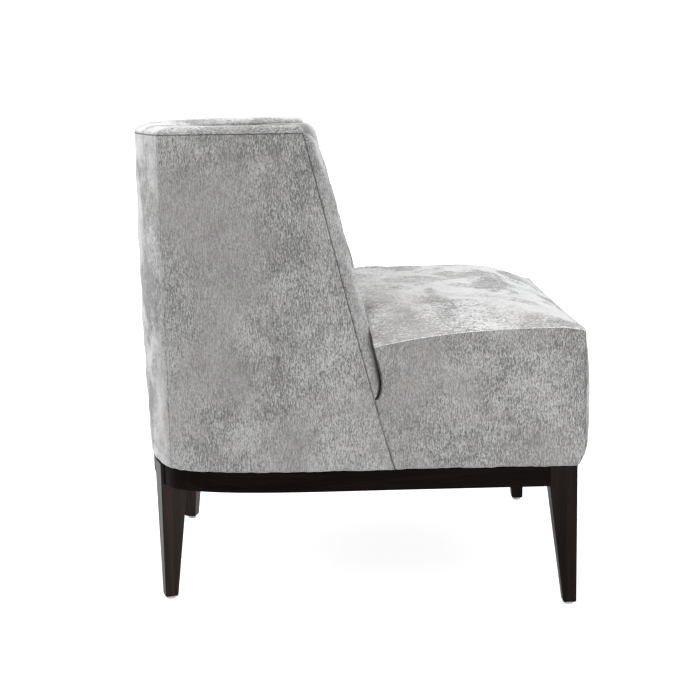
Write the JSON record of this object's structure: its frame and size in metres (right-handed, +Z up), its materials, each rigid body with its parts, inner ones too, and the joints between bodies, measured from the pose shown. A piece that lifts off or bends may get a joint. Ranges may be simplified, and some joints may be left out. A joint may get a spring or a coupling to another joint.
{
  "type": "slipper chair",
  "caption": "Upholstered slipper chair with a low crowned seat, a raked barrel back that wraps into short wings, and a dark stained wood base on tapered legs.",
  "frame": {"origin": "on the floor, under the centre of the chair's bounding box", "axes": "+Z up, +Y towards the back of the chair, -Y towards the front of the seat, +X towards the sitter's left"},
  "size_m": [0.643, 0.7414, 0.7745],
  "materials": {
    "stained_wood": "satin",
    "frame_wood": "raw",
    "upholstery": "chenille pile",
    "foam": "matte",
    "webbing": "woven",
    "lining": "matte",
    "zinc_steel": "zinc plated",
    "glide_plastic": "matte"
  },
  "bodies": {
    "root": {"front_leg_right": "stained_wood", "front_leg_left": "stained_wood", "rear_leg_right": "stained_wood", "rear_leg_left": "stained_wood", "base_side_rail_right": "stained_wood", "base_side_rail_left": "stained_wood", "base_front_rail": "stained_wood", "base_rear_rail": "stained_wood", "front_glide_right": "glide_plastic", "front_glide_left": "glide_plastic", "rear_glide_right": "glide_plastic", "rear_glide_left": "glide_plastic", "front_leg_bolt_right": "zinc_steel", "front_leg_bolt_left": "zinc_steel", "rear_leg_bolt_right": "zinc_steel", "rear_leg_bolt_left": "zinc_steel", "seat_screw_1_right": "zinc_steel", "seat_screw_1_left": "zinc_steel", "seat_screw_2_right": "zinc_steel", "seat_screw_2_left": "zinc_steel", "front_corner_block_right": "frame_wood", "front_corner_block_left": "frame_wood", "rear_corner_block_right": "frame_wood", "rear_corner_block_left": "frame_wood", "seat_frame_side_rail_right": "frame_wood", "seat_frame_side_rail_left": "frame_wood", "seat_frame_rear_rail": "frame_wood", "seat_frame_front_rail": "frame_wood", "wing_post_right": "frame_wood", "wing_post_left": "frame_wood", "rear_post_right": "frame_wood", "rear_post_left": "frame_wood", "rear_post_middle": "frame_wood", "back_lower_rail": "frame_wood", "back_top_rail": "frame_wood", "dust_cover": "lining", "seat_webbing_across_1": "webbing", "seat_webbing_across_2": "webbing", "seat_webbing_across_3": "webbing", "seat_webbing_long_1_right": "webbing", "seat_webbing_long_1_left": "webbing", "seat_webbing_long_2_right": "webbing", "seat_webbing_long_2_left": "webbing", "back_webbing_right": "webbing", "back_webbing_left": "webbing", "back_webbing_middle": "webbing", "seat_foam": "foam", "inside_back_foam": "foam", "wing_pad_right": "foam", "wing_pad_left": "foam", "seat_top_cover": "upholstery", "seat_front_cover": "upholstery", "seat_side_cover_right": "upholstery", "seat_side_cover_left": "upholstery", "back_side_cover_right": "upholstery", "back_side_cover_left": "upholstery", "outside_back_cover": "upholstery", "inside_back_cover": "upholstery", "top_band_cover": "upholstery"}
  },
  "joints": []
}
